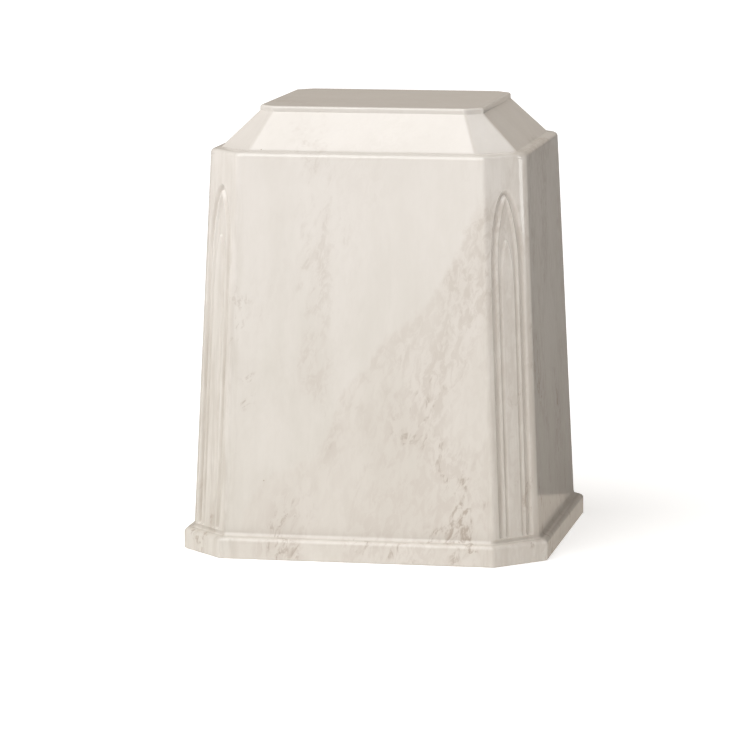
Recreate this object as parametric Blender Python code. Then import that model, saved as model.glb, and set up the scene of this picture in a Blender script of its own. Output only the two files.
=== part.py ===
"""Cremation urn in cast marble resin: a stepped plinth, a tapered body with four canted corners that carry
a nested lancet relief, and a hipped top with a raised flat panel. It is cast in one, hollow, and closed
from below by a plate. Metres, +Z up, the origin at the middle of the underside, the front face towards -Y.
"""

import math

import bmesh
import bpy
from mathutils import Vector

HEIGHT = 0.220
PLINTH_WIDTH = 0.1826
PLINTH_DEPTH = 0.1733
PLINTH_CANT = 0.0226  # how much of each side the plinth's canted corner takes
PLINTH_FACE = 0.0082  # height of the plinth's upright face
PLINTH_ROUND = 0.0024  # radius of its rounded upper edge
PLINTH_COVE = 0.0023  # radius of the hollow between that edge and the body
FOOT_BEVEL = 0.0005
ARRIS_ROUND = 0.0030  # radius of the upright edges
SIDE_ARRIS_ROUND = 0.0085  # radius of the softer edges between the body's cants and its sides

BODY_CANT_FOOT = 0.0188
BODY_CANT_SHOULDER = 0.0176
BODY_LEAN = 0.0080  # how far each side leans in from its foot to the shoulder
SHOULDER_HEIGHT = 0.1993
SHOULDER_ROUND = 0.0025
LEDGE_WIDTH = 0.0025  # the flat between the shoulder's round and the hip
LEDGE_RISE = 0.0004

HIP_CANT = 0.0174
HIP_RUN = 0.0178
PANEL_CANT = 0.0076
PANEL_STEP = 0.0028  # how far the raised panel stands above the top of the hip
PANEL_ROUND = 0.0012

WALL = 0.0110
CORE_ROUND = 0.0020

PLATE_THICKNESS = 0.0080
PLATE_RECESS = 0.0008  # the plate stays this far above the standing surface
PLATE_SEAT = 0.0050  # width of the shelf that the plate is bonded to
PLATE_GAP = 0.0003

LANCET_MARGIN = 0.0025  # from the edge of the relief to the narrowest cant's edge
LANCET_FOOT = 0.0005  # the relief starts this far above the cove
LANCET_DROP = 0.0168  # from the shoulder down to the outer lancet's tip
LANCET_RISE = 0.0400
GROOVE_WIDTH = 0.0026
GROOVE_DEPTH = 0.0013
RIB_WIDTH = 0.0026
RIB_SINK = 0.0004  # how far the rib's crest lies below the corner's surface
FLOOR_DEPTH = 0.0009
INNER_HALF_WIDTH = 0.0045
INNER_DROP = 0.0240  # from the outer lancet's tip down to the inner one's
INNER_RISE = 0.0300
INNER_SLOPE = 0.0014
INNER_SINK = 0.0001

# The relief's section, as shares of each band's own width and depth, from the outside inwards.
GROOVE_SECTION = [(0.32, 0.80), (0.45, 1.00), (0.65, 0.90)]
RIB_SECTION = [(0.20, 0.85), (0.42, 1.00), (0.65, 0.80)]  # 0 is the floor and 1 the rib's crest
INNER_SECTION = [(0, 0), (0.70, 0.75), (1, 1)]  # 0 is the floor and 1 the inner lancet's top

ROUND_STEPS = 4
ARRIS_STEPS = 3
LANCET_STEPS = 9
CUT_ROOM = 0.0008  # how far a cutter reaches past the surface that it cuts

ACROSS_CANT = math.sqrt(2)  # a cant is this much wider than the length it takes off each side
UPRIGHT_CORNERS = [(1, -1), (1, 1), (-1, 1), (-1, -1)]

# Levels and insets from the plinth's outline, all worked out from the sizes above.
COVE_FOOT = PLINTH_FACE + PLINTH_ROUND
BODY_FOOT = COVE_FOOT + PLINTH_COVE
FOOT_INSET = PLINTH_ROUND + PLINTH_COVE
SHOULDER_INSET = FOOT_INSET + BODY_LEAN
SIDE_TOP = SHOULDER_HEIGHT - SHOULDER_ROUND
HIP_INSET = SHOULDER_INSET + SHOULDER_ROUND + LEDGE_WIDTH
HIP_FOOT = SHOULDER_HEIGHT + LEDGE_RISE
PANEL_INSET = HIP_INSET + HIP_RUN
HIP_TOP = HEIGHT - PANEL_STEP
PLATE_TOP = PLATE_RECESS + PLATE_THICKNESS
SEAT_LEVEL = PLATE_TOP + PLATE_GAP
REBATE_INSET = FOOT_INSET + WALL - PLATE_SEAT


def between(first, second, share):
    return first + (second - first) * share


def offset_cant(cant, inwards):
    """The cant of an outline that lies the same distance inside all eight sides of another."""
    return cant - (2 - math.sqrt(2)) * inwards


def outline(inset, level, cant, radius=ARRIS_ROUND, side_radius=None):
    """The eight-sided plan at one level, its corners rounded. Those on its two sides can have their own radius."""
    half_width = PLINTH_WIDTH / 2 - inset
    half_depth = PLINTH_DEPTH / 2 - inset
    corners = []
    for x_side, y_side in UPRIGHT_CORNERS:
        on_front_or_back = (x_side * (half_width - cant), y_side * half_depth, radius)
        on_side = (x_side * half_width, y_side * (half_depth - cant), side_radius or radius)
        anticlockwise = x_side * y_side < 0
        corners += [on_front_or_back, on_side] if anticlockwise else [on_side, on_front_or_back]
    points = []
    turn = math.radians(45)
    for number, (x, y, rounding) in enumerate(corners):
        start = math.radians(-90) + turn * number
        middle = start + turn / 2
        reach = rounding / math.cos(turn / 2)
        centre = Vector((x - reach * math.cos(middle), y - reach * math.sin(middle), level))
        for step in range(ARRIS_STEPS + 1):
            angle = start + turn * step / ARRIS_STEPS
            points.append(centre + rounding * Vector((math.cos(angle), math.sin(angle), 0)))
    return points


def quarter_round(inset, level, radius, hollow=False):
    """A quarter arc that climbs inwards from (inset, level), as pairs of inset and level."""
    points = []
    for step in range(ROUND_STEPS + 1):
        angle = math.radians(90) * step / ROUND_STEPS
        if hollow:
            points.append((inset + radius * math.sin(angle), level + radius * (1 - math.cos(angle))))
        else:
            points.append((inset + radius * (1 - math.cos(angle)), level + radius * math.sin(angle)))
    return points


def with_corners(profile, first, last):
    """Gives each (inset, level) of a stretch of profile its corners, a cant and its two roundings."""
    spread = max(len(profile) - 1, 1)
    rings = []
    for number, point in enumerate(profile):
        rings.append((*point, *[between(start, end, number / spread) for start, end in zip(first, last)]))
    return rings


def loft(name, rings):
    """A closed solid through a stack of rings that all have as many points."""
    shape = bmesh.new()
    rows = [[shape.verts.new(point) for point in ring] for ring in rings]
    for lower, upper in zip(rows, rows[1:]):
        for i in range(len(lower)):
            j = (i + 1) % len(lower)
            shape.faces.new((lower[i], lower[j], upper[j], upper[i]))
    shape.faces.new(reversed(rows[0]))
    shape.faces.new(rows[-1])
    return finished(name, shape)


def finished(name, shape):
    """Turns a bmesh into an object with its faces outwards."""
    bmesh.ops.remove_doubles(shape, verts=shape.verts, dist=1e-7)
    bmesh.ops.recalc_face_normals(shape, faces=shape.faces)
    mesh = bpy.data.meshes.new(name)
    shape.to_mesh(mesh)
    shape.free()
    mesh.shade_smooth()
    mesh.set_sharp_from_angle(angle=math.radians(30))
    return bpy.data.objects.new(name, mesh)


def body_surface():
    """The outside of the casting, from the foot up to the raised panel."""
    plinth = (PLINTH_CANT, ARRIS_ROUND, ARRIS_ROUND)
    foot = (BODY_CANT_FOOT, ARRIS_ROUND, SIDE_ARRIS_ROUND)
    shoulder = (BODY_CANT_SHOULDER, ARRIS_ROUND, SIDE_ARRIS_ROUND)
    ledge = (offset_cant(BODY_CANT_SHOULDER, SHOULDER_ROUND), ARRIS_ROUND, SIDE_ARRIS_ROUND - SHOULDER_ROUND)
    hip_foot = (HIP_CANT, ARRIS_ROUND, ARRIS_ROUND)
    panel = (PANEL_CANT, ARRIS_ROUND, ARRIS_ROUND)
    panel_edge = (offset_cant(PANEL_CANT, PANEL_ROUND), ARRIS_ROUND, ARRIS_ROUND)

    profile = with_corners([(FOOT_BEVEL, 0), (0, FOOT_BEVEL)], plinth, plinth)
    profile += with_corners(quarter_round(0, PLINTH_FACE, PLINTH_ROUND), plinth, plinth)
    cove = quarter_round(PLINTH_ROUND, COVE_FOOT, PLINTH_COVE, hollow=True)
    profile += with_corners(cove, plinth, foot)[1:]
    profile += with_corners(quarter_round(SHOULDER_INSET, SIDE_TOP, SHOULDER_ROUND), shoulder, ledge)
    profile += with_corners([(HIP_INSET, HIP_FOOT), (PANEL_INSET, HIP_TOP)], hip_foot, panel)
    profile += with_corners(quarter_round(PANEL_INSET, HEIGHT - PANEL_ROUND, PANEL_ROUND), panel, panel_edge)
    return loft("urn_body", [outline(*level) for level in profile])


def hollow_core():
    """The space inside: the plate's rebate, then the chamber, which narrows upwards so that a core draws out."""
    hip_slope = (HIP_TOP - HIP_FOOT) / HIP_RUN
    below_hip = WALL * math.hypot(1, hip_slope)
    ceiling = HEIGHT - WALL
    foot_inset = FOOT_INSET + WALL
    shoulder_inset = SHOULDER_INSET + WALL
    shoulder = HIP_FOOT + hip_slope * (shoulder_inset - HIP_INSET) - below_hip
    ceiling_inset = HIP_INSET + (ceiling + below_hip - HIP_FOOT) / hip_slope
    rebate_cant = offset_cant(PLINTH_CANT, REBATE_INSET)
    levels = [
        (REBATE_INSET, -CUT_ROOM, rebate_cant),
        (REBATE_INSET, SEAT_LEVEL, rebate_cant),
        (foot_inset, SEAT_LEVEL, offset_cant(BODY_CANT_FOOT, WALL)),
        (shoulder_inset, shoulder, offset_cant(BODY_CANT_SHOULDER, WALL)),
        (ceiling_inset, ceiling, offset_cant(PANEL_CANT, ceiling_inset - PANEL_INSET)),
    ]
    return loft("hollow_core", [outline(*level, CORE_ROUND) for level in levels])


def base_plate():
    inset = REBATE_INSET + PLATE_GAP
    cant = offset_cant(PLINTH_CANT, inset)
    return loft("base_plate", [outline(inset, level, cant, CORE_ROUND) for level in (PLATE_RECESS, PLATE_TOP)])


def half_width_of_lancet(half_width, rise, tip, level):
    """Half the width of an elliptical lancet at a level, a little below zero above its tip."""
    climbed = level - (tip - rise)
    if climbed <= 0:
        return half_width
    if climbed >= rise:
        return rise - climbed
    return half_width * math.sqrt(1 - (climbed / rise) ** 2)


def relief_section(outer, inner):
    """Half a section of the relief, from its margin to its middle, as pairs of distance and height."""
    wall_width, wall_depth = GROOVE_SECTION[0]
    wall_slope = wall_depth * GROOVE_DEPTH / (wall_width * GROOVE_WIDTH)
    band = [(-CUT_ROOM / wall_slope, CUT_ROOM)]
    for width, depth in GROOVE_SECTION:
        band.append((width * GROOVE_WIDTH, -depth * GROOVE_DEPTH))
    for width, rise in RIB_SECTION:
        band.append((GROOVE_WIDTH + width * RIB_WIDTH, -between(FLOOR_DEPTH, RIB_SINK, rise)))
    band.append((GROOVE_WIDTH + RIB_WIDTH, -FLOOR_DEPTH))
    raised = [(width * INNER_SLOPE, -between(FLOOR_DEPTH, INNER_SINK, rise)) for width, rise in INNER_SECTION]
    section = []
    for inwards, height in band:
        section.append((max(outer - inwards, 0), height if inwards < outer else height_at(band, outer)))
    for inwards, height in raised:
        floor = height_at(band, outer)
        lifted = height if inwards < inner else height_at(raised, max(inner, 0))
        section.append((max(inner - inwards, 0), max(lifted, floor) if inner > 0 else floor))
    return section


def height_at(points, inwards):
    """The height of a broken line at a distance, level beyond both its ends."""
    if inwards <= points[0][0]:
        return points[0][1]
    for (near, low), (far, high) in zip(points, points[1:]):
        if inwards <= far:
            return between(low, high, (inwards - near) / (far - near))
    return points[-1][1]


def relief_cutter(x_side, y_side):
    """What is cut away from one canted corner, from just above the foot up to the outer lancet's tip."""
    outer_tip = SHOULDER_HEIGHT - LANCET_DROP
    inner_tip = outer_tip - INNER_DROP
    narrowest = min(BODY_CANT_SHOULDER, BODY_CANT_FOOT) * ACROSS_CANT / 2
    outer_half_width = narrowest - LANCET_MARGIN
    levels = {BODY_FOOT + LANCET_FOOT}
    for step in range(LANCET_STEPS + 1):
        climb = math.sin(math.radians(90) * step / LANCET_STEPS)
        levels.add(outer_tip - LANCET_RISE * (1 - climb))
        levels.add(inner_tip - INNER_RISE * (1 - climb))
    levels = sorted(levels)
    outwards = Vector((x_side, y_side, 0)) / ACROSS_CANT
    along = Vector((x_side, -y_side, 0)) / ACROSS_CANT
    shape = bmesh.new()
    rows = []
    for level in levels:
        share = (level - BODY_FOOT) / (SIDE_TOP - BODY_FOOT)
        inset = between(FOOT_INSET, SHOULDER_INSET, share)
        cant = between(BODY_CANT_FOOT, BODY_CANT_SHOULDER, share)
        to_side = PLINTH_WIDTH / 2 - inset - cant / 2
        to_front = PLINTH_DEPTH / 2 - inset - cant / 2
        middle = Vector((x_side * to_side, y_side * to_front, level))
        outer = half_width_of_lancet(outer_half_width, LANCET_RISE, outer_tip, level)
        inner = half_width_of_lancet(INNER_HALF_WIDTH, INNER_RISE, inner_tip, level)
        half = relief_section(outer, inner)
        section = [(-distance, height) for distance, height in half]
        section += [(0, half[-1][1])]
        section += [(distance, height) for distance, height in reversed(half)]
        rows.append([shape.verts.new(middle + along * s + outwards * h) for s, h in section])
    for lower, upper in zip(rows, rows[1:]):
        for i in range(len(lower) - 1):
            shape.faces.new((lower[i], lower[i + 1], upper[i + 1], upper[i]))
        shape.faces.new((lower[-1], lower[0], upper[0], upper[-1]))
    shape.faces.new(rows[0])
    shape.faces.new(rows[-1])
    return finished(f"relief_cutter_{x_side}_{y_side}", shape)


def marble_resin(name, colour, roughness):
    material = bpy.data.materials.new(name)
    material.use_nodes = True
    shader = material.node_tree.nodes["Principled BSDF"]
    shader.inputs["Base Color"].default_value = (*colour, 1)
    shader.inputs["Roughness"].default_value = roughness
    shader.inputs["Metallic"].default_value = 0
    return material


def collection(name):
    made = bpy.data.collections.new(name)
    bpy.context.scene.collection.children.link(made)
    return made


def cut(solid, cutters, cutter):
    """Takes the cutter's space away from the solid. The cutter itself isn't part of the object."""
    cutters.objects.link(cutter)
    cutter.hide_render = True
    cutter.display_type = "WIRE"
    modifier = solid.modifiers.new(cutter.name, "BOOLEAN")
    modifier.operation = "DIFFERENCE"
    modifier.solver = "EXACT"
    modifier.object = cutter


def main():
    for old in list(bpy.data.objects):
        bpy.data.objects.remove(old)
    urn = collection("cremation_urn")
    cutters = collection("urn_cutters")

    body = body_surface()
    urn.objects.link(body)
    body.data.materials.append(marble_resin("gel_coated_marble_resin", (0.78, 0.75, 0.70), 0.12))
    cut(body, cutters, hollow_core())
    for x_side, y_side in UPRIGHT_CORNERS:
        cut(body, cutters, relief_cutter(x_side, y_side))
    body.modifiers.new("flat_faces_shade_flat", "WEIGHTED_NORMAL").keep_sharp = True

    plate = base_plate()
    urn.objects.link(plate)
    plate.data.materials.append(marble_resin("plain_marble_resin", (0.74, 0.71, 0.66), 0.35))


main()
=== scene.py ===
"""Looks of the cremation urn: one casting of marble resin under a clear gel coat, and the plate in its foot.
Metres, +Z up, the front face towards -Y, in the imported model's own frame.
"""

import math

import bmesh
import bpy
import numpy as np
from mathutils import Matrix, Vector


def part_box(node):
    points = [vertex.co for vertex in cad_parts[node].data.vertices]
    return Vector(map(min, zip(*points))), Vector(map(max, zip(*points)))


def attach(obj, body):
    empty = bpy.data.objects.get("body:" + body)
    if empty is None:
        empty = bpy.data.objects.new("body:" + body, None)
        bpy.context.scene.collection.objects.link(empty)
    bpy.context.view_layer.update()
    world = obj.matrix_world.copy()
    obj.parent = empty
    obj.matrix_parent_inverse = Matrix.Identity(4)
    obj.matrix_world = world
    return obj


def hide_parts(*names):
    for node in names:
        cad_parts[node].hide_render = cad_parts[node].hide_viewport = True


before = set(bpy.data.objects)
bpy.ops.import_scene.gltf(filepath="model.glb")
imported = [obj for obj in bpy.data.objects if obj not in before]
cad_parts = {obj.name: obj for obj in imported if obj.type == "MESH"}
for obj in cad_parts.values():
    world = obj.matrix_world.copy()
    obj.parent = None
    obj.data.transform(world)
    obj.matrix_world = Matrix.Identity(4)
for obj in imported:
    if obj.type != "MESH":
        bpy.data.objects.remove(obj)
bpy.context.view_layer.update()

# The casting: plinth, tapered body, hip and raised panel in one, of polyester resin filled with ground
# marble. It is cast between a polished mould and a core, so it is hollow, its edges are softly rounded and
# its four canted corners carry a lancet in low relief. A rebate in its foot takes the plate.

half_width, half_depth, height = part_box("urn_body")[1]

plinth_cant = 0.0226
plinth_face = 0.0082
plinth_round = 0.0024
plinth_cove = 0.0023
foot_bevel = 0.0005
edge_round = 0.0030
side_edge_round = 0.0085
shoulder_side_round = 0.0125  # the same edges grow softer towards the shoulder
body_cant_foot = 0.0188
body_cant_shoulder = 0.0176
body_lean = 0.0080
shoulder_height = 0.1993
shoulder_round = 0.0025
ledge_width = 0.0025
ledge_rise = 0.0004
hip_cant = 0.0174
hip_run = 0.0178
panel_cant = 0.0076
panel_step = 0.0028
panel_round = 0.0012
hollow_round = 0.0006  # the mould's own small radius where the hip meets the ledge and the panel's step
wall = 0.0110
core_round = 0.0020
plate_recess = 0.0008
plate_thickness = 0.0080
plate_seat = 0.0050
plate_gap = 0.0003

lancet_margin = 0.0025
lancet_drop = 0.0168
lancet_rise = 0.0400
inner_half_width = 0.0045
inner_drop = 0.0240
inner_rise = 0.0300
scoop_height = 0.0022  # the grooves run out at the foot over this height, in a rounded scoop
groove_to_rib = [(-0.0003, 0), (0.0015, -0.0017), (0.0019, -0.0017), (0.0037, -0.0002), (0.0041, -0.0002),
                 (0.0053, -0.0011)]
inner_lancet = [(-0.0002, -0.0011), (0.0012, -0.0001)]

relief_reach = 0.0102
relief_columns = 30  # in each half of a cant
straight_columns = 3
arc_columns = 8
face_columns = 6
bevel_rings = 4
round_rings = 9
cove_rings = 7
scoop_rings = 9
shaft_rings = 26
crown_rings = 128
plain_rings = 4
hip_shares = [0.0, 0.03, 0.06, 0.35, 0.65, 0.94, 0.97]
above_tip = 0.0010  # the close rings run on this far over the outer lancet's tip
guard = 0.0004  # a column or ring this near to a rounded edge keeps the flat beside it flat

foot_inset = plinth_round + plinth_cove
shoulder_inset = foot_inset + body_lean
body_foot = plinth_face + plinth_round + plinth_cove
side_top = shoulder_height - shoulder_round
hip_inset = shoulder_inset + shoulder_round + ledge_width
hip_foot = shoulder_height + ledge_rise
hip_top = height - panel_step
panel_inset = hip_inset + hip_run
seat_level = plate_recess + plate_thickness + plate_gap
rebate_inset = foot_inset + wall - plate_seat


def between(first, second, share):
    return first + (second - first) * share


def offset_cant(cant, inwards):
    """The cant of an outline that runs the same distance inside all eight sides of another."""
    return cant - (2 - math.sqrt(2)) * inwards


def inside_lancet(half_breadth, rise, tip, across, level):
    """How far points of a cant lie inside a lancet's outline, below zero outside it. across is an array."""
    spring = tip - rise
    turn = np.linspace(0, math.pi / 2, 2500)
    sides = np.linspace(body_foot - rise, spring, 2500)
    outline_across = np.concatenate([np.full_like(sides, half_breadth), half_breadth * np.cos(turn)])
    outline_level = np.concatenate([sides, spring + rise * np.sin(turn)])
    distance = np.hypot(outline_across - across[:, None], outline_level - level).min(axis=1)
    climbed = max(level - spring, 0) / rise
    breadth = half_breadth * math.sqrt(1 - climbed ** 2) if climbed < 1 else -1
    return np.where(across < breadth, distance, -distance)


def soft_steps(points, at):
    """A line through points that is level at each of them and beyond both ends. at is an array."""
    found = np.full_like(at, points[0][1])
    for (near, low), (far, high) in zip(points, points[1:]):
        share = np.clip((at - near) / (far - near), 0, 1)
        found = np.where(at >= near, between(low, high, share * share * (3 - 2 * share)), found)
    return found


def relief_heights(level):
    """The relief's heights over the cant's face at one level, from its middle out to relief_reach."""
    across = np.linspace(0, relief_reach, relief_columns + 1)
    tip = shoulder_height - lancet_drop
    half_breadth = min(body_cant_foot, body_cant_shoulder) / math.sqrt(2) - lancet_margin
    band = soft_steps(groove_to_rib, inside_lancet(half_breadth, lancet_rise, tip, across, level))
    inwards = inside_lancet(inner_half_width, inner_rise, tip - inner_drop, across, level)
    raised = np.maximum(band, soft_steps(inner_lancet, inwards))
    heights = np.where(inwards > inner_lancet[0][0], raised, band)
    left = min(max(1 - (level - body_foot) / scoop_height, 0), 1)
    return heights * math.sqrt(1 - left * left)


def half_of_cant(half_face, radius, relief):
    """Half a cant's section, from its middle round to the next side, as pairs of distance and height."""
    tangent = half_face - radius * math.tan(math.radians(22.5))
    reach = relief_reach if relief is not None else min(relief_reach, tangent)
    section = []
    for number in range(relief_columns + 1):
        distance = reach * number / relief_columns
        beyond = max(distance - tangent, 0)
        height_here = math.sqrt(radius ** 2 - beyond ** 2) - radius
        section.append((distance, height_here + (relief[number] if relief is not None else 0)))
    start = 0
    steps = straight_columns + arc_columns
    if tangent > reach:
        steps = arc_columns
        for step in range(1, straight_columns + 1):
            section.append((between(reach, tangent, step / straight_columns), 0))
    else:
        start = math.asin((reach - tangent) / radius)
    for step in range(1, steps + 1):
        angle = between(start, math.radians(45), step / steps)
        section.append((tangent + radius * math.sin(angle), radius * (math.cos(angle) - 1)))
    return section


def casting_ring(inset, level, cant, radius=edge_round, side_radius=None, relief=None):
    """One ring of the casting: four cants with their rounded edges, and the four sides between them."""
    halves = {"face": half_of_cant(cant / math.sqrt(2), radius, relief)}
    halves["side"] = half_of_cant(cant / math.sqrt(2), side_radius or radius, relief)
    cants = []
    for x_side, y_side in [(1, -1), (1, 1), (-1, 1), (-1, -1)]:
        outwards = Vector((x_side, y_side, 0)).normalized()
        along = Vector((-outwards.y, outwards.x, 0))
        reach = inset + cant / 2
        middle = Vector((x_side * (half_width - reach), y_side * (half_depth - reach), level))
        first, last = ("face", "side") if x_side * y_side < 0 else ("side", "face")
        section = [(-distance, rise) for distance, rise in reversed(halves[first][1:])] + halves[last]
        cants.append([middle + along * distance + outwards * rise for distance, rise in section])
    ring = []
    for number, points in enumerate(cants):
        start, end = points[-1], cants[(number + 1) % 4][0]
        near = guard / (end - start).length
        ring += points
        for step in range(face_columns + 1):
            ring.append(start.lerp(end, between(near, 1 - near, step / face_columns)))
    return ring


def round_over(inset, level, radius, steps, hollow=False):
    """A quarter arc that climbs inwards, as pairs of inset and level."""
    points = []
    for step in range(steps + 1):
        angle = math.radians(90) * step / steps
        if hollow:
            points.append((inset + radius * math.sin(angle), level + radius * (1 - math.cos(angle))))
        else:
            points.append((inset + radius * (1 - math.cos(angle)), level + radius * math.sin(angle)))
    return points


def chamber_rings():
    """The inside, from its ceiling down to the seat of the plate and out over the rebate to the underside."""
    slope = (hip_top - hip_foot) / hip_run
    below_hip = wall * math.hypot(1, slope)
    ceiling = height - wall
    in_foot, in_shoulder = foot_inset + wall, shoulder_inset + wall
    shoulder = hip_foot + slope * (in_shoulder - hip_inset) - below_hip
    in_ceiling = hip_inset + (ceiling + below_hip - hip_foot) / slope
    rebate_cant = offset_cant(plinth_cant, rebate_inset)
    levels = [
        (in_ceiling, ceiling, offset_cant(panel_cant, in_ceiling - panel_inset)),
        (in_shoulder, shoulder, offset_cant(body_cant_shoulder, wall)),
        (in_foot, seat_level, offset_cant(body_cant_foot, wall)),
        (rebate_inset, seat_level, rebate_cant),
        (rebate_inset, 0, rebate_cant),
    ]
    return [casting_ring(*station, core_round) for station in levels]


def body_levels():
    """The levels of the tapered sides' rings: close together at the scoops and over the lancets' arches."""
    tip = shoulder_height - lancet_drop
    arches = tip - inner_drop - inner_rise
    scoops = [body_foot + scoop_height * (step / scoop_rings) ** 2 for step in range(scoop_rings + 1)]
    shafts = np.linspace(scoops[-1], arches, shaft_rings)[1:-1]
    crowns = np.linspace(arches, tip + above_tip, crown_rings)
    plain = np.linspace(tip + 3 * above_tip, side_top - guard, plain_rings)
    return [*scoops, *shafts, *crowns, *plain]


def outside_rings():
    """The outside, from the underside's edge up to the raised panel."""
    plinth = (plinth_cant, edge_round, edge_round)
    foot = (body_cant_foot, edge_round, side_edge_round)
    shoulder = (body_cant_shoulder, edge_round, shoulder_side_round)
    ledge_side_round = shoulder_side_round - shoulder_round
    ledge = (offset_cant(body_cant_shoulder, shoulder_round), edge_round, ledge_side_round)
    hip_start = (hip_cant, edge_round, edge_round)
    panel = (panel_cant, edge_round, edge_round)
    panel_edge = (offset_cant(panel_cant, panel_round), edge_round, edge_round)

    def stretch(points, first, last):
        spread = max(len(points) - 1, 1)
        made = []
        for number, point in enumerate(points):
            corner = [between(start, end, number / spread) for start, end in zip(first, last)]
            made.append(casting_ring(*point, *corner))
        return made

    bevel = round_over(0, 0, foot_bevel, bevel_rings)
    rings = [casting_ring(foot_bevel - inset, level, *plinth) for inset, level in bevel]
    rings += stretch([(0, foot_bevel + guard), (0, plinth_face - guard)], plinth, plinth)
    rings += stretch(round_over(0, plinth_face, plinth_round, round_rings), plinth, plinth)
    cove = round_over(plinth_round, plinth_face + plinth_round, plinth_cove, cove_rings, hollow=True)
    rings += stretch(cove, plinth, foot)[1:-1]
    for level in body_levels():
        share = (level - body_foot) / (side_top - body_foot)
        corner = [between(start, end, share) for start, end in zip(foot, shoulder)]
        inset = between(foot_inset, shoulder_inset, share)
        rings.append(casting_ring(inset, level, *corner, relief_heights(level)))
    rings += stretch(round_over(shoulder_inset, side_top, shoulder_round, round_rings), shoulder, ledge)
    hip_point = (hip_inset, hip_foot)
    panel_point = (panel_inset, hip_top)
    before_hip = (hip_inset - hollow_round, hip_foot - ledge_rise * hollow_round / ledge_width)
    rings += stretch([before_hip], ledge, ledge)
    for share in hip_shares:
        point = [between(low, high, share) for low, high in zip(hip_point, panel_point)]
        corner = [between(start, end, share) for start, end in zip(hip_start, panel)]
        rings.append(casting_ring(*point, *corner))
    rings += stretch([panel_point, (panel_inset, hip_top + hollow_round)], panel, panel)
    panel_arc = round_over(panel_inset, height - panel_round, panel_round, cove_rings)
    rings += stretch(panel_arc, panel, panel_edge)
    inner = offset_cant(panel_edge[0], guard)
    rings.append(casting_ring(panel_inset + panel_round + guard, height, inner))
    return rings


def lofted(name, rings):
    """A closed mesh through a stack of rings of the same number of points, capped flat at both ends."""
    shape = bmesh.new()
    rows = [[shape.verts.new(point) for point in ring] for ring in rings]
    for lower, upper in zip(rows, rows[1:]):
        for i in range(len(lower)):
            j = (i + 1) % len(lower)
            shape.faces.new((lower[i], lower[j], upper[j], upper[i]))
    shape.faces.new(reversed(rows[0]))
    shape.faces.new(rows[-1])
    mesh = bpy.data.meshes.new(name)
    shape.to_mesh(mesh)
    shape.free()
    mesh.shade_smooth()
    mesh.set_sharp_from_angle(angle=math.radians(40))
    piece = bpy.data.objects.new(name, mesh)
    bpy.context.scene.collection.objects.link(piece)
    return piece


def paint(hex_colour):
    """A colour for a shader's socket, from its sRGB hex value."""
    shares = [int(hex_colour[i:i + 2], 16) / 255 for i in (0, 2, 4)]
    return (*[s / 12.92 if s <= 0.04045 else ((s + 0.055) / 1.055) ** 2.4 for s in shares], 1)


def add(material, kind, inputs=None, output=0, **settings):
    """Adds a node with its settings, fills its inputs with values or links, and gives back one output."""
    node = material.node_tree.nodes.new(kind)
    for name, value in settings.items():
        setattr(node, name, value)
    for name, value in (inputs or {}).items():
        if isinstance(value, bpy.types.NodeSocket):
            material.node_tree.links.new(value, node.inputs[name])
        else:
            node.inputs[name].default_value = value
    return node.outputs[output]


# Gel-coated marble resin: clear polyester gel over a beige resin swirled with grey-brown pigment, sprayed
# into a polished mould. To the eye it is a warm off-white with soft clouds, feathered patches and a few
# cracks and specks of darker pigment, under a hard, wet-looking gloss.
gel_coat = bpy.data.materials.new("gel_coated_cast_marble")
gel_coat.use_nodes = True
gel_coat_shader = gel_coat.node_tree.nodes["Principled BSDF"]
cloud_size = 0.030
lobe_size = 0.090
streak_size = 0.0045
patch_size = 0.0036
drift_size = 0.034
crack_size = 0.022
ragged_size = 0.005
speck_spacing = 0.026
speck_radius = 0.0004
cant_lean = 0.080  # how fast |x| + |y| shrinks on the cants as z climbs
cant_plane = 0.1508  # |x| + |y| + cant_lean * z on the cants' own face

where = add(gel_coat, "ShaderNodeTexCoord", output="Object")
x, y, z = [add(gel_coat, "ShaderNodeSeparateXYZ", {0: where}, axis) for axis in range(3)]
low_down = add(gel_coat, "ShaderNodeMapRange", {0: z, 1: 0.20, 2: 0}, interpolation_type="SMOOTHSTEP")
# The pour ran down and to the left, so the pigment is drawn out along a line that leans to the right.
pour = add(gel_coat, "ShaderNodeMapping", {
    "Vector": where, "Rotation": (0, math.radians(14), 0), "Scale": (1, 1, 2.1)}, vector_type="TEXTURE")
sag = add(gel_coat, "ShaderNodeMapping", {"Vector": where, "Scale": (1, 1, 0.40)})
run = add(gel_coat, "ShaderNodeMapping", {"Vector": where, "Scale": (1, 1, 0.10)})
lobes = add(gel_coat, "ShaderNodeTexNoise", {
    "Vector": where, "Scale": 1 / lobe_size, "Detail": 2, "Distortion": 0.3})
ragged = add(gel_coat, "ShaderNodeTexNoise", {
    "Vector": where, "Scale": 1 / ragged_size, "Detail": 4, "Roughness": 0.6})
clouds = add(gel_coat, "ShaderNodeTexNoise", {
    "Vector": sag, "Scale": 1 / cloud_size, "Detail": 7, "Roughness": 0.62, "Distortion": 0.3})
patches = add(gel_coat, "ShaderNodeTexNoise", {
    "Vector": pour, "Scale": 1 / patch_size, "Detail": 7, "Roughness": 0.66, "Distortion": 0.6})
drifts = add(gel_coat, "ShaderNodeTexNoise", {
    "Vector": pour, "Scale": 1 / drift_size, "Detail": 4, "Roughness": 0.6, "Distortion": 0.6})
cracks = add(gel_coat, "ShaderNodeTexNoise", {
    "Vector": pour, "Scale": 1 / crack_size, "Detail": 7, "Roughness": 0.6, "Distortion": 0.8})
streaks = add(gel_coat, "ShaderNodeTexNoise", {
    "Vector": run, "Scale": 1 / streak_size, "Detail": 6, "Roughness": 0.68, "Distortion": 0.2})
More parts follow.
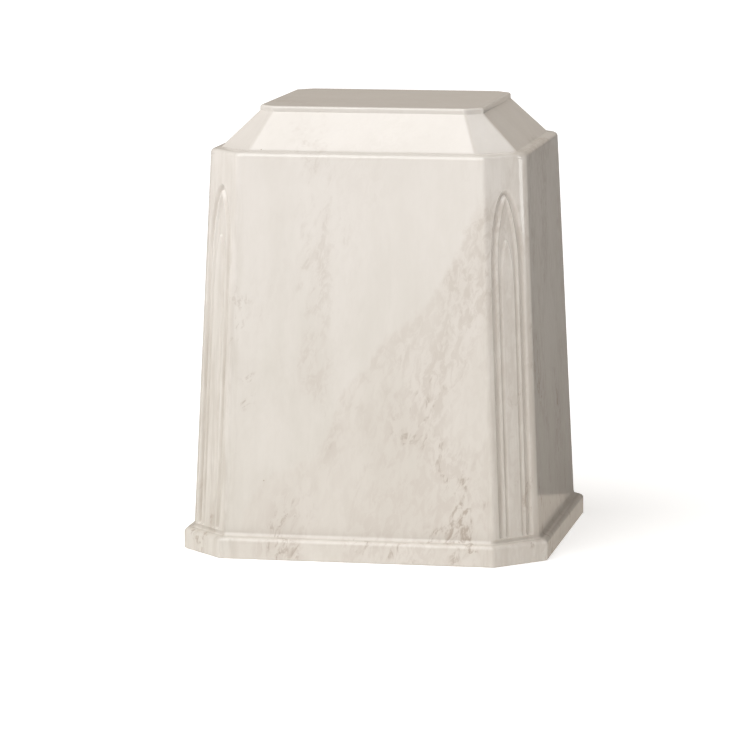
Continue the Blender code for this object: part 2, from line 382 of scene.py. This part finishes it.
specks = add(gel_coat, "ShaderNodeTexVoronoi", {"Vector": where, "Scale": 1 / speck_spacing})

# Two pours meet along a line that climbs to the right across the front: clear above it, mottled below.
sideways = add(gel_coat, "ShaderNodeMath", {0: x, 1: 0.81}, operation="MULTIPLY")
across = add(gel_coat, "ShaderNodeMath", {0: z, 1: -0.59, 2: sideways}, operation="MULTIPLY_ADD")
wander = add(gel_coat, "ShaderNodeMath", {0: lobes, 1: 0.060, 2: across}, operation="MULTIPLY_ADD")
meeting = add(gel_coat, "ShaderNodeMath", {0: ragged, 1: 0.008, 2: wander}, operation="MULTIPLY_ADD")
mottled_pour = add(gel_coat, "ShaderNodeMapRange", {0: meeting, 1: -0.0215, 2: -0.0180},
                   interpolation_type="SMOOTHSTEP")
near_meeting = add(gel_coat, "ShaderNodeMapRange", {0: meeting, 1: 0.014, 2: -0.016},
                   interpolation_type="SMOOTHSTEP")
near_meeting = add(gel_coat, "ShaderNodeMath", {0: near_meeting, 1: mottled_pour}, operation="MULTIPLY")
broken_up = add(gel_coat, "ShaderNodeMapRange", {0: drifts, 1: 0.34, 2: 0.56, 4: 0.74},
                interpolation_type="SMOOTHSTEP")
near_meeting = add(gel_coat, "ShaderNodeMath", {0: near_meeting, 1: broken_up}, operation="MULTIPLY")

# A seam of pigment hangs down the left of the front. It leans away to the left, and fades, towards the back.
from_front = add(gel_coat, "ShaderNodeMath", {0: y, 1: half_depth - shoulder_inset}, operation="ADD")
leant = add(gel_coat, "ShaderNodeMath", {0: from_front, 1: 0.42, 2: x}, operation="MULTIPLY_ADD")
swayed = add(gel_coat, "ShaderNodeMath", {0: drifts, 1: 0.030, 2: leant}, operation="MULTIPLY_ADD")
swayed = add(gel_coat, "ShaderNodeMath", {0: ragged, 1: 0.012, 2: swayed}, operation="MULTIPLY_ADD")
swayed = add(gel_coat, "ShaderNodeMath", {0: swayed, 1: 0.0015}, operation="ADD")
from_seam = add(gel_coat, "ShaderNodeMath", {0: swayed}, operation="ABSOLUTE")
seam = add(gel_coat, "ShaderNodeMapRange", {0: from_seam, 1: 0.0120, 2: 0.0020},
           interpolation_type="SMOOTHSTEP")
above_foot = add(gel_coat, "ShaderNodeMapRange", {0: z, 1: 0.066, 2: 0.090}, interpolation_type="SMOOTHSTEP")
seam = add(gel_coat, "ShaderNodeMath", {0: seam, 1: above_foot}, operation="MULTIPLY")
near_front = add(gel_coat, "ShaderNodeMapRange", {0: from_front, 1: 0.110, 2: 0.010},
                 interpolation_type="SMOOTHSTEP")
seam = add(gel_coat, "ShaderNodeMath", {0: seam, 1: near_front}, operation="MULTIPLY")
seam_breaks = add(gel_coat, "ShaderNodeMapRange", {0: drifts, 1: 0.34, 2: 0.56, 4: 0.80},
                  interpolation_type="SMOOTHSTEP")
seam = add(gel_coat, "ShaderNodeMath", {0: seam, 1: seam_breaks}, operation="MULTIPLY")

# Feathered patches fill the seam, the meeting line and, thinly, the mottled pour.
mottling = add(gel_coat, "ShaderNodeMapRange", {0: drifts, 1: 0.40, 2: 0.60, 3: 0.28, 4: 0.95},
               interpolation_type="SMOOTHSTEP")
in_pour = add(gel_coat, "ShaderNodeMapRange", {0: mottled_pour, 3: 0.15, 4: 0.95})
zone = add(gel_coat, "ShaderNodeMath", {0: mottling, 1: in_pour}, operation="MULTIPLY")
zone = add(gel_coat, "ShaderNodeMath", {0: zone, 1: near_meeting}, operation="MAXIMUM")
zone = add(gel_coat, "ShaderNodeMath", {0: zone, 1: seam}, operation="MAXIMUM")
feathers = add(gel_coat, "ShaderNodeMapRange", {0: patches, 1: 0.43, 2: 0.58},
               interpolation_type="SMOOTHSTEP")
feathered = add(gel_coat, "ShaderNodeMapRange", {0: feathers, 3: 0.25, 4: 1.0})
patch_share = add(gel_coat, "ShaderNodeMath", {0: zone, 1: feathered}, operation="MULTIPLY")
pour_share = add(gel_coat, "ShaderNodeMath", {0: mottled_pour, 1: 0.22}, operation="MULTIPLY")

# Soft clouds thicken towards the foot. The corners took the brush: there the pigment runs down in fine
# streaks.
cloud_share = add(gel_coat, "ShaderNodeMapRange", {0: clouds, 1: 0.36, 2: 0.64},
                  interpolation_type="SMOOTHSTEP")
thicker = add(gel_coat, "ShaderNodeMapRange", {0: low_down, 3: 0.20, 4: 0.95})
cloud_share = add(gel_coat, "ShaderNodeMath", {0: cloud_share, 1: thicker}, operation="MULTIPLY")
out_x = add(gel_coat, "ShaderNodeMath", {0: x}, operation="ABSOLUTE")
out_y = add(gel_coat, "ShaderNodeMath", {0: y}, operation="ABSOLUTE")
cornerwards = add(gel_coat, "ShaderNodeMath", {0: out_x, 1: out_y}, operation="ADD")
cornerwards = add(gel_coat, "ShaderNodeMath", {0: z, 1: cant_lean, 2: cornerwards}, operation="MULTIPLY_ADD")
at_corner = add(gel_coat, "ShaderNodeMapRange", {
    0: cornerwards, 1: cant_plane - 0.0068, 2: cant_plane - 0.0008, 3: 0.08, 4: 0.62},
    interpolation_type="SMOOTHSTEP")
longer = add(gel_coat, "ShaderNodeMapRange", {0: low_down, 3: 0.32, 4: 1.0})
streak_share = add(gel_coat, "ShaderNodeMapRange", {0: streaks, 1: 0.40, 2: 0.64},
                   interpolation_type="SMOOTHSTEP")
streak_share = add(gel_coat, "ShaderNodeMath", {0: streak_share, 1: at_corner}, operation="MULTIPLY")
streak_share = add(gel_coat, "ShaderNodeMath", {0: streak_share, 1: longer}, operation="MULTIPLY")

# Painted shade in the hollows of the relief, where the grooves' walls fall into shade, with some pigment
# gathered there too: below the cant's own plane, and clear of its two edges.
hollow = add(gel_coat, "ShaderNodeMapRange", {
    0: cornerwards, 1: cant_plane - 0.0004, 2: cant_plane - 0.0022, 4: 0.38}, interpolation_type="SMOOTHSTEP")
off_middle = add(gel_coat, "ShaderNodeMath", {0: out_x, 1: out_y}, operation="SUBTRACT")
off_middle = add(gel_coat, "ShaderNodeMath", {0: off_middle, 1: half_width - half_depth},
                 operation="SUBTRACT")
off_middle = add(gel_coat, "ShaderNodeMath", {0: off_middle}, operation="ABSOLUTE")
on_cant = add(gel_coat, "ShaderNodeMapRange", {0: off_middle, 1: 0.0172, 2: 0.0150},
              interpolation_type="SMOOTHSTEP")
hollow = add(gel_coat, "ShaderNodeMath", {0: hollow, 1: on_cant}, operation="MULTIPLY")
below_hip = add(gel_coat, "ShaderNodeMapRange", {0: z, 1: 0.190, 2: 0.186}, interpolation_type="SMOOTHSTEP")
hollow = add(gel_coat, "ShaderNodeMath", {0: hollow, 1: below_hip}, operation="MULTIPLY")
hollow_unevenness = add(gel_coat, "ShaderNodeMapRange", {0: streaks, 1: 0.38, 2: 0.62, 3: 0.45, 4: 1.0})
hollow_shade_share = add(gel_coat, "ShaderNodeMath", {0: hollow, 1: hollow_unevenness}, operation="MULTIPLY")
deeper = add(gel_coat, "ShaderNodeMapRange", {0: low_down, 3: 0.55, 4: 1.0})
hollow_shade_share = add(gel_coat, "ShaderNodeMath", {0: hollow_shade_share, 1: deeper}, operation="MULTIPLY")

# A few cracks of darker pigment show in the feathers near the foot, and a stray speck here and there.
ridge = add(gel_coat, "ShaderNodeMath", {0: cracks, 1: 0.5}, operation="SUBTRACT")
ridge = add(gel_coat, "ShaderNodeMath", {0: ridge}, operation="ABSOLUTE")
crack_share = add(gel_coat, "ShaderNodeMapRange", {0: ridge, 1: 0.026, 2: 0.003},
                  interpolation_type="SMOOTHSTEP")
few = add(gel_coat, "ShaderNodeMapRange", {0: drifts, 1: 0.54, 2: 0.62}, interpolation_type="SMOOTHSTEP")
crack_share = add(gel_coat, "ShaderNodeMath", {0: crack_share, 1: few}, operation="MULTIPLY")
crack_share = add(gel_coat, "ShaderNodeMath", {0: crack_share, 1: low_down}, operation="MULTIPLY")
crack_share = add(gel_coat, "ShaderNodeMath", {0: crack_share, 1: feathers}, operation="MULTIPLY")
speck_share = add(gel_coat, "ShaderNodeMapRange", {
    0: specks, 1: speck_radius / speck_spacing, 2: 0.5 * speck_radius / speck_spacing},
    interpolation_type="SMOOTHSTEP")

# The base tone darkens towards the foot: partly pigment settled low in the pour, partly painted shade
# standing in for the key light falling off down the sides.
colour = add(gel_coat, "ShaderNodeMix", {0: low_down, 6: paint("ece6df"), 7: paint("e2dcd3")}, 2,
             data_type="RGBA")
# Of the tones below, the hollows' darker one is painted shade in the relief, with some real pigment there
# too.
for share, pigment in [(cloud_share, "dbd5cb"), (pour_share, "dfd6cc"), (streak_share, "c8bfb3"),
                       (hollow_shade_share, "b3a89b"), (patch_share, "d5ccc2"), (crack_share, "bbaea1"),
                       (speck_share, "b3a28c")]:
    colour = add(gel_coat, "ShaderNodeMix", {0: share, 6: colour, 7: paint(pigment)}, 2, data_type="RGBA")
gel_coat.node_tree.links.new(colour, gel_coat_shader.inputs["Base Color"])
gel_coat_shader.inputs["Roughness"].default_value = 0.12
gel_coat_shader.inputs["IOR"].default_value = 1.52

casting = lofted("urn_casting", chamber_rings() + outside_rings())
casting.data.materials.append(gel_coat)
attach(casting, "root")
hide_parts("urn_body")

# The plate: a flat slab of the same resin, poured without a gel coat and bonded to the shelf inside the foot,
# a little above the standing surface. Its edges are eased with a file.
plate_ease = 0.0006
plate_inset = rebate_inset + plate_gap

plain_resin = bpy.data.materials.new("poured_marble_resin")
plain_resin.use_nodes = True
plain_shader = plain_resin.node_tree.nodes["Principled BSDF"]
filler_size = 0.0012
grain_place = add(plain_resin, "ShaderNodeTexCoord", output="Object")
grain = add(plain_resin, "ShaderNodeTexNoise", {"Vector": grain_place, "Scale": 1 / filler_size, "Detail": 3})
plain_colour = add(plain_resin, "ShaderNodeMix", {0: grain, 6: paint("dcd3c6"), 7: paint("c9bdac")}, 2,
                   data_type="RGBA")
plain_bump = add(plain_resin, "ShaderNodeBump", {"Height": grain, "Strength": 0.3, "Distance": 0.0002})
plain_resin.node_tree.links.new(plain_colour, plain_shader.inputs["Base Color"])
plain_resin.node_tree.links.new(plain_bump, plain_shader.inputs["Normal"])
plain_shader.inputs["Roughness"].default_value = 0.42

plate_top = plate_recess + plate_thickness
eased = round_over(0, plate_recess, plate_ease, bevel_rings)
plate_levels = [(plate_inset + plate_ease - inset, level) for inset, level in eased]
plate_levels += round_over(plate_inset, plate_top - plate_ease, plate_ease, bevel_rings)
plate_rings = []
for inset, level in plate_levels:
    plate_rings.append(casting_ring(inset, level, offset_cant(plinth_cant, inset), core_round))
plate = lofted("base_plate_slab", plate_rings)
plate.data.materials.append(plain_resin)
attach(plate, "root")
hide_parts("base_plate")

# The floor: a white sweep that runs on behind the urn as far as the picture shows.
floor_reach = 8.0
floor_shape = bmesh.new()
bmesh.ops.create_grid(floor_shape, x_segments=1, y_segments=1, size=floor_reach)
floor_mesh = bpy.data.meshes.new("studio_floor")
floor_shape.to_mesh(floor_mesh)
floor_shape.free()
floor = bpy.data.objects.new("studio_floor", floor_mesh)
bpy.context.scene.collection.objects.link(floor)
floor_white = bpy.data.materials.new("matt_white_floor")
floor_white.use_nodes = True
floor_shader = floor_white.node_tree.nodes["Principled BSDF"]
floor_shader.inputs["Base Color"].default_value = paint("e7e7e7")
floor_shader.inputs["Emission Color"].default_value = paint("ffffff")
floor_shader.inputs["Emission Strength"].default_value = 0.50
floor_shader.inputs["Roughness"].default_value = 0.9
floor_shader.inputs["Specular IOR Level"].default_value = 0
floor_mesh.materials.append(floor_white)
floor.visible_glossy = False


# The light: a broad key from high on the front left, bounced back by the floor, in a dim room that is
# brighter behind the urn than in front of it.
def direction(azimuth, elevation):
    """The unit vector towards a place seen at these angles: azimuth 0 is in front, 90 to the right."""
    turn, lift = math.radians(azimuth), math.radians(elevation)
    return Vector((math.sin(turn) * math.cos(lift), -math.cos(turn) * math.cos(lift), math.sin(lift)))


key_light = bpy.data.lights.new("key", "SUN")
key_light.energy = 2.28
key_light.angle = math.radians(60)
key = bpy.data.objects.new("key", key_light)
key.location = Vector((0, 0, height / 2)) + direction(-34, 56) * 2
key.rotation_euler = direction(-34, 56).to_track_quat("Z", "Y").to_euler()
bpy.context.scene.collection.objects.link(key)

room = bpy.data.worlds.new("room")
room.use_nodes = True
room_glow = room.node_tree.nodes["Background"]
seen = add(room, "ShaderNodeTexCoord", output="Generated")
behind = add(room, "ShaderNodeSeparateXYZ", {0: seen}, 1)
behind = add(room, "ShaderNodeMapRange", {0: behind, 1: -0.8, 2: 0.8})
glow = add(room, "ShaderNodeMapRange", {0: behind, 3: 0.19, 4: 0.34})
tint = add(room, "ShaderNodeMix", {0: behind, 6: paint("ffffff"), 7: paint("fff0de")}, 2, data_type="RGBA")
room.node_tree.links.new(tint, room_glow.inputs["Color"])
room.node_tree.links.new(glow, room_glow.inputs["Strength"])
bpy.context.scene.world = room


def card(name, middle, facing, width, card_height, shade, glow):
    """A flat card that only reflections show."""
    shape = bmesh.new()
    bmesh.ops.create_grid(shape, x_segments=1, y_segments=1, size=0.5)
    bmesh.ops.scale(shape, vec=(width, card_height, 1), verts=shape.verts)
    mesh = bpy.data.meshes.new(name)
    shape.to_mesh(mesh)
    shape.free()
    made = bpy.data.objects.new(name, mesh)
    made.matrix_world = Matrix.Translation(middle) @ facing.to_track_quat("Z", "Y").to_matrix().to_4x4()
    material = bpy.data.materials.new(name)
    material.use_nodes = True
    shader = material.node_tree.nodes["Principled BSDF"]
    shader.inputs["Base Color"].default_value = paint(shade)
    shader.inputs["Roughness"].default_value = 1
    shader.inputs["Specular IOR Level"].default_value = 0
    shader.inputs["Emission Color"].default_value = paint("ffffff")
    shader.inputs["Emission Strength"].default_value = glow
    mesh.materials.append(material)
    bpy.context.scene.collection.objects.link(made)
    made.visible_camera = False
    made.visible_diffuse = False
    made.visible_shadow = False


card("dark_flag", Vector((0.23, 0.122, 0.1025)), Vector((0, -1, 0)), 0.34, 0.205, "262626", 0)
to_strip, to_front, to_top = direction(95, 0), direction(-8, 42), direction(114, 53)
card("bright_strip", to_strip * 0.7 + Vector((0, 0, 0.325)), -to_strip, 0.24, 0.42, "000000", 4.0)
card("front_strip", to_front * 1.1 + Vector((0, 0, 0.1)), -to_front, 1.3, 0.26, "000000", 4.5)
card("top_glow", to_top * 1.1 + Vector((0, 0, 0.2)), -to_top, 0.5, 0.4, "000000", 1.4)

# The camera: a long lens from a little right of the front and a little above.
camera_turn = 10.75
camera_lift = 8.86
camera_roll = math.radians(-0.12)
camera_target = Vector((-0.0066, 0, 0.0796))
camera_distance = 2.144
photo_width = 750
focal_pixels = 4237.2

camera_data = bpy.data.cameras.new("camera")
camera_data.sensor_width = 36
camera_data.lens = focal_pixels * camera_data.sensor_width / photo_width
camera_data.clip_end = 50
camera = bpy.data.objects.new("camera", camera_data)
bpy.context.scene.collection.objects.link(camera)
away = direction(camera_turn, camera_lift)
level_right = Vector((0, 0, 1)).cross(away).normalized()
level_up = away.cross(level_right)
right = level_right * math.cos(camera_roll) + level_up * math.sin(camera_roll)
up = level_up * math.cos(camera_roll) - level_right * math.sin(camera_roll)
camera.matrix_world = Matrix.Translation(camera_target + away * camera_distance) @ Matrix(
    (right, up, away)).transposed().to_4x4()
bpy.context.scene.camera = camera
bpy.context.scene.view_settings.view_transform = "Standard"
